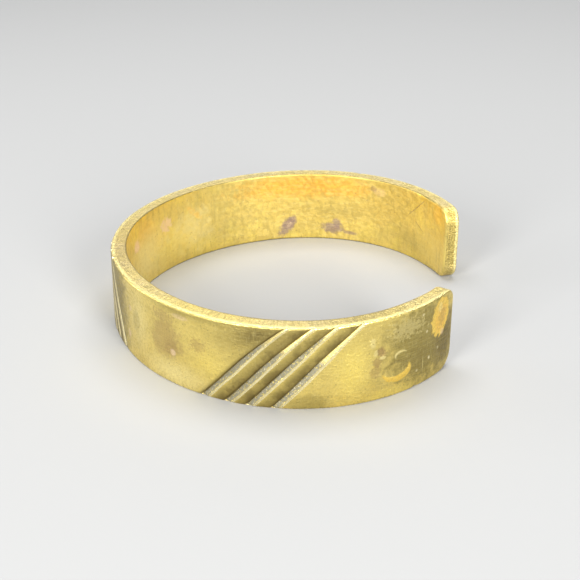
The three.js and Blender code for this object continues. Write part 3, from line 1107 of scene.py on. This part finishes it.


# The inner face: warmer, with pink and orange bloom, purple spots and two fine scratches, and a
# painted pool of light near the back and a painted shade line along the rim
innerFinish = {
    "roughness": (0.33, 0.48),
    "spotRoughness": 0.12,
    "streakGrain": (0.5, 4.0, 1.0),
    "wipeGrain": (1.3, 0.25, 1.0),
    "streakLines": (0.45, 0.68),    # parts of the streaks that show pale
    "wipeLines": (0.46, 0.68),      # and of the wiping that show dull
    "fine": {"Size": 0.7, "Low": 0.40, "High": 0.62},
    "warm": {"Size": 4.5, "Low": 0.48, "High": 0.64},
    "specks": {"Size": 0.6, "Amount": 0.14},
    "strength": {
        "warm": 0.7, "wiped": 0.28, "fine": 0.12, "streaks": 0.2, "specks": 0.30, "shadeLine": 0.8,
    },
    "heights": {"streaks": 0.5, "fine": 0.8, "specks": -1.0},
    "bumpDepth": 0.010,
    "tintSpots": [
        spot("warmBrass", -45.0, 2.5, 26.0, 9.0, strength=0.9, inner=0.4),
        spot("amberBloom", -39.5, 3.8, 17.0, 3.0, strength=0.8, inner=0.2, ragged=0.9),
        spot("amberBloom", -47.8, 4.0, 7.0, 2.6, strength=0.5, inner=0.3, ragged=1.2),
        spot("orangeFlash", -4.5, 3.0, 5.0, 2.6, strength=0.6, inner=0.2, ragged=1.2),
        spot("orangeFlash", -18.2, 2.1, 2.6, 0.7, strength=0.75, turn=40),
        spot("orangeFlash", -71.0, 4.2, 1.9, 2.2, strength=0.45),
        spot("orangeFlash", -9.0, 0.5, 5.0, 2.8, strength=0.3, inner=0.0),
        spot("orangeFlash", 30.0, 1.0, 14.0, 3.0, strength=0.5, inner=0.0),
        # The next three are a painted pool of light on the inner face near the back
        spot("paleBrass", -5.0, -1.0, 10.0, 7.0, strength=0.8, inner=0.0),
        spot("paleBrass", -17.0, -0.5, 8.0, 5.5, strength=0.75, inner=0.0, ragged=2.2, grain=0.7),
        spot("brightBrass", -13.0, -2.0, 9.0, 4.0, strength=0.5, inner=0.0, ragged=2.0),
        spot("creamLip", 2.7, 5.85, 0.35, 0.35, strength=1.0),
        spot("creamLip", 3.7, 5.8, 0.3, 0.3, strength=1.0),
        spot("oliveFilmAndShade", -47.1, -0.6, 9.0, 2.4, strength=0.35, inner=0.0),
        spot("oliveFilmAndShade", -24.0, -2.5, 8.0, 3.2, strength=0.25, inner=0.0),
        spot("oliveFilmAndShade", -62.5, -3.2, 8.0, 3.5, strength=0.4, inner=0.0),
        spot("pinkBloom", -0.7, 2.0, 1.6, 1.3, strength=0.95, ragged=0.9),
        spot("pinkBloom", -11.1, 2.1, 1.7, 1.4, strength=0.8, ragged=2.2, grain=1.4),
        spot("brownTarnish", -54.1, 4.3, 0.9, 0.7, strength=0.6),
        spot("pinkBloom", -55.4, 3.9, 1.8, 0.9, strength=0.25),
        spot("pinkBloom", 58.0, -1.5, 3.0, 2.0, strength=0.5, ragged=0.9),
        spot("purpleOxide", -37.3, -3.5, 3.0, 1.35, strength=0.95, turn=130, ragged=1.0),
        spot("pinkBloom", -37.6, -3.4, 0.9, 0.35, strength=0.28, turn=130),
        spot("purpleOxide", -46.0, -3.8, 2.7, 1.3, strength=0.9, ragged=1.1),
        spot("purpleOxide", -46.8, -2.9, 1.1, 1.1, strength=0.85, ragged=0.8),
        spot("purpleOxide", -49.5, -4.5, 1.9, 0.42, strength=0.7, turn=4, ragged=0.8),
        spot("brownTarnish", -64.3, 3.3, 4.0, 0.13, strength=0.7, turn=139, ragged=0.3),
        spot("brownTarnish", -65.3, 0.2, 1.8, 0.13, strength=0.65, turn=30, ragged=0.3),
    ],
}


def makeInnerFinish():
    material, tree, shader, place = startMetal("Rubbed inner face")
    finish = innerFinish
    strength, heights = finish["strength"], finish["heights"]
    streaks = useEffect(tree, "streaks", Place=place, Grain=finish["streakGrain"])
    wiping = useEffect(tree, "streaks", Place=place, Grain=finish["wipeGrain"])
    fine = useEffect(tree, "patches", Place=place, **finish["fine"])
    warm = useEffect(tree, "patches", Place=place, **finish["warm"])
    specks = useEffect(tree, "specks", Place=place, **finish["specks"])
    wiped = mapRange(tree, wiping, *finish["wipeLines"])
    pale = mapRange(tree, streaks, *finish["streakLines"])
    base = tint(tree, tones["brass"], "brightBrass", warm, strength["warm"])
    base = tint(tree, base, "oliveFilmAndShade", wiped, strength["wiped"])
    base, spotCover = layTintSpots(tree, base, place, finish["tintSpots"])
    base = tint(tree, base, "oliveFilmAndShade", fine, strength["fine"])
    base = tint(tree, base, "paleBrass", pale, strength["streaks"])
    base = tint(tree, base, "brownTarnish", specks, strength["specks"])
    # Painted shade line along the inner arris
    base = tint(tree, base, "darkOlive", innerEdgeShade(tree, place), strength["shadeLine"])
    tree.links.new(base, shader.inputs["Base Color"])
    rough = mapRange(tree, fine, 0, 1, *finish["roughness"])
    rough = addShare(tree, rough, spotCover, finish["spotRoughness"], clamp=True)
    tree.links.new(rough, shader.inputs["Roughness"])
    height = math2(tree, "MULTIPLY", streaks, heights["streaks"])
    height = addShare(tree, height, fine, heights["fine"])
    height = addShare(tree, height, specks, heights["specks"])
    addBump(tree, shader, height, finish["bumpDepth"])
    return material


band = makeBand()
for finish in (makeOuterFinish(), makeRimFinish(), makeInnerFinish()):
    band.data.materials.append(finish)
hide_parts("front_arm", "rear_arm")
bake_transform(band)
print("cuff: band finished")

studio = {
    "floorSize": 3.0,
    "floorTone": (0.35, 0.35, 0.345, 1),
    "floorRoughness": 0.9,
    "floorSheen": 0.2,
    "worldTone": (0.92, 0.94, 1.0, 1),
    "worldStrength": 0.34,
    # name: (place, size, watts), all aimed at the cuff
    "softboxes": {
        "overhead": ((-0.02, 0.12, 0.50), (0.50, 0.30), 3.2),
        "back light": ((0.02, 0.50, 0.27), (0.60, 0.16), 0.35),
        "left key": ((-0.20, -0.46, 0.20), (0.16, 0.26), 3.4),
        "right fill": ((0.30, -0.41, 0.20), (0.14, 0.26), 3.7),
        "left edge": ((-0.50, -0.02, 0.12), (0.20, 0.10), 0.75),
    },
}


def makeFloor():
    half = studio["floorSize"] / 2
    mesh = bpy.data.meshes.new("floor")
    corners = [(-half, -half, 0), (half, -half, 0), (half, half, 0), (-half, half, 0)]
    mesh.from_pydata(corners, [], [(0, 1, 2, 3)])
    floor = bpy.data.objects.new("floor", mesh)
    bpy.context.scene.collection.objects.link(floor)
    material = bpy.data.materials.new("Pale floor")
    material.use_nodes = True
    shader = material.node_tree.nodes["Principled BSDF"]
    shader.inputs["Base Color"].default_value = studio["floorTone"]
    shader.inputs["Roughness"].default_value = studio["floorRoughness"]
    shader.inputs["Specular IOR Level"].default_value = studio["floorSheen"]
    mesh.materials.append(material)


def addSoftbox(name, place, size, watts):
    light = bpy.data.lights.new(name, "AREA")
    light.shape = "RECTANGLE"
    light.size, light.size_y = size
    light.energy = watts
    lamp = bpy.data.objects.new(name, light)
    lamp.location = place
    lamp.rotation_euler = Vector(place).to_track_quat("Z", "Y").to_euler()
    bpy.context.scene.collection.objects.link(lamp)


def makeStudio():
    world = bpy.data.worlds.new("studio")
    world.use_nodes = True
    background = world.node_tree.nodes["Background"]
    background.inputs["Color"].default_value = studio["worldTone"]
    background.inputs["Strength"].default_value = studio["worldStrength"]
    bpy.context.scene.world = world
    for name, (place, size, watts) in studio["softboxes"].items():
        addSoftbox(name, place, size, watts)


view = {
    "azimuth": 10.0,      # degrees that the camera looks round from +Y towards -X
    "pitch": 26.10,       # degrees down
    "roll": 0.37,
    "place": (24.38, -144.32, 74.59),   # mm from the oval's centre, on the floor
    "lens": 66.0,
    "sensor": 36.0,
    "nearest": 10.0,      # mm
}


def makeCamera():
    lens = bpy.data.cameras.new("camera")
    lens.lens = view["lens"]
    lens.sensor_width = view["sensor"]
    lens.clip_start = view["nearest"] * mm
    camera = bpy.data.objects.new("camera", lens)
    x, y, z = view["place"]
    turn = Matrix.Rotation(math.radians(view["azimuth"]), 4, "Z")
    tilt = Matrix.Rotation(math.radians(90 - view["pitch"]), 4, "X")
    roll = Matrix.Rotation(-math.radians(view["roll"]), 4, "Z")
    place = Matrix.Translation(Vector((x + ovalCentreX, y, z)) * mm)
    camera.matrix_world = place @ turn @ tilt @ roll
    bpy.context.scene.collection.objects.link(camera)
    bpy.context.scene.camera = camera


makeFloor()
makeStudio()
makeCamera()
bpy.context.scene.view_settings.view_transform = "Standard"   # keeps the brass as yellow as it is
print("cuff: studio ready")
